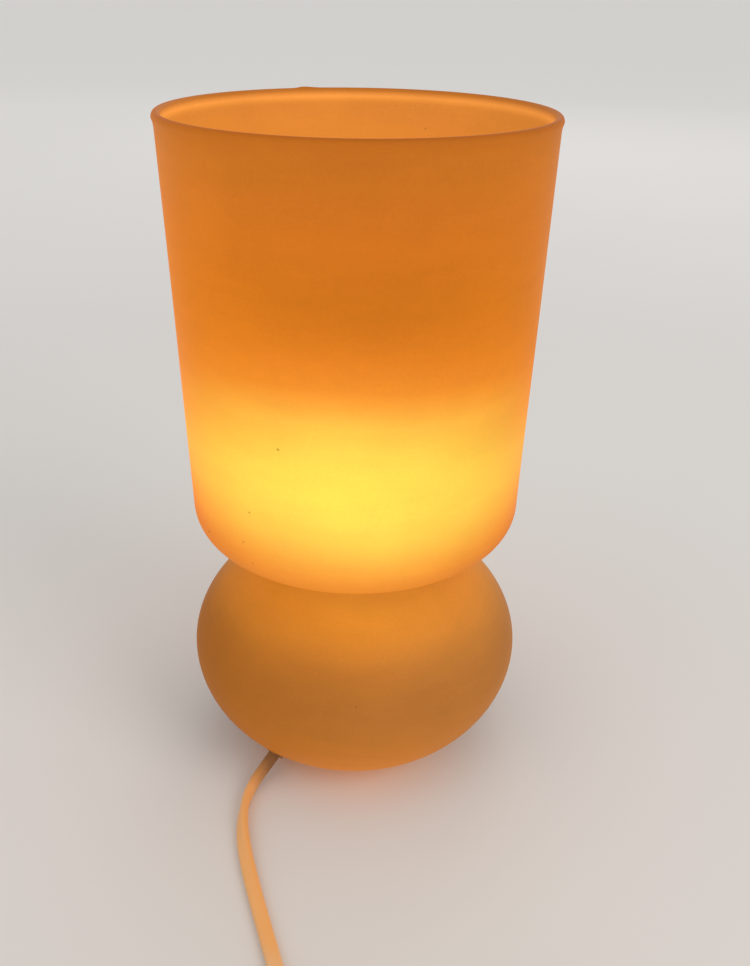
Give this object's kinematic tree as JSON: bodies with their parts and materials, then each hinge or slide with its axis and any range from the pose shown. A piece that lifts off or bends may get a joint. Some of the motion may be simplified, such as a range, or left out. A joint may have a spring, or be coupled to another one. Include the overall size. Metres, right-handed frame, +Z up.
{
  "type": "table lamp",
  "caption": "Mushroom table lamp of blown opal glass: open cup on a squashed-ball base, with lampholder, globe bulb, flat cord, inline rocker switch and plug.",
  "frame": {"origin": "middle of the glass foot, on the table", "axes": "+Z up along the axis of the glass; the cord leaves low on the base and runs towards -Y"},
  "size_m": [0.145, 0.3666, 0.245],
  "materials": {
    "glass": "satin opal glass, lit from inside",
    "opal": "opal bulb glass, lit",
    "clear_glass": "clear glass",
    "rubber_white": "matt",
    "plate_white": "satin white paint",
    "holder_white": "satin",
    "insert": "glazed",
    "brass": "satin",
    "steel": "zinc plated",
    "cap_metal": "nickel plated",
    "cap_glass": "black glass",
    "solder": "soft satin",
    "filament": "glowing",
    "cord": "satin vinyl",
    "wire": "satin vinyl",
    "grommet": "soft, translucent",
    "switch_plastic": "satin",
    "rocker_plastic": "satin",
    "plug_plastic": "soft satin",
    "pin_metal": "nickel plated",
    "sleeve_plastic": "satin"
  },
  "bodies": {
    "lamp": {"glass_body": "glass", "upper_gasket": "rubber_white", "lower_gasket": "rubber_white", "upper_plate": "plate_white", "lower_plate": "plate_white", "upper_ring_nut": "holder_white", "lower_ring_nut": "holder_white", "holder_sleeve": "holder_white", "holder_cap": "holder_white", "holder_insert": "insert", "side_contact": "brass", "centre_terminal": "brass", "terminal_screws": "steel", "socket_shell": "brass", "contact_spring": "steel", "cord_grip": "holder_white", "grip_screws": "steel", "inner_cord": "cord", "holder_wires": "wire", "cord_grommet": "grommet", "cord_lead": "cord", "cord_main": "cord", "cord_coil": "cord", "cord_tail": "cord", "switch_base": "switch_plastic", "switch_cover": "switch_plastic", "switch_axle": "steel", "switch_contacts": "brass", "switch_cord_ends": "cord", "switch_wires": "wire", "switch_clamps": "switch_plastic", "switch_screws": "steel", "plug_body": "plug_plastic", "plug_relief": "plug_plastic", "plug_pins": "pin_metal", "plug_pin_sleeves": "sleeve_plastic"},
    "centre_contact": {"contact_plunger": "brass"},
    "bulb": {"bulb_envelope": "opal", "bulb_cap": "cap_metal", "bulb_cap_insulator": "cap_glass", "bulb_tip_contact": "solder", "bulb_stem": "clear_glass", "bulb_leads": "steel", "bulb_filament": "filament"},
    "rocker": {"switch_rocker": "rocker_plastic", "switch_blade": "brass"}
  },
  "joints": [
    {"name": "contact_rise", "type": "slide", "parent": "lamp", "child": "centre_contact", "axis": [0, 0, 1], "range_m": [0, 0.00141], "deforming": ["contact_spring"]},
    {"name": "bulb_unscrew", "type": "hinge", "parent": "centre_contact", "child": "bulb", "pos_m": [0, 0, 0.1], "axis": [0, 0, 1], "range_deg": [0, 180]},
    {"name": "rocker_tilt", "type": "hinge", "parent": "lamp", "child": "rocker", "pos_m": [-0.021, -0.181, 0.0106], "axis": [1, 0, 0], "range_deg": [-18, 0]}
  ],
  "couplings": [
    {"joint": "bulb_unscrew", "follows": "contact_rise", "rad_per_m": 2226.5}
  ]
}
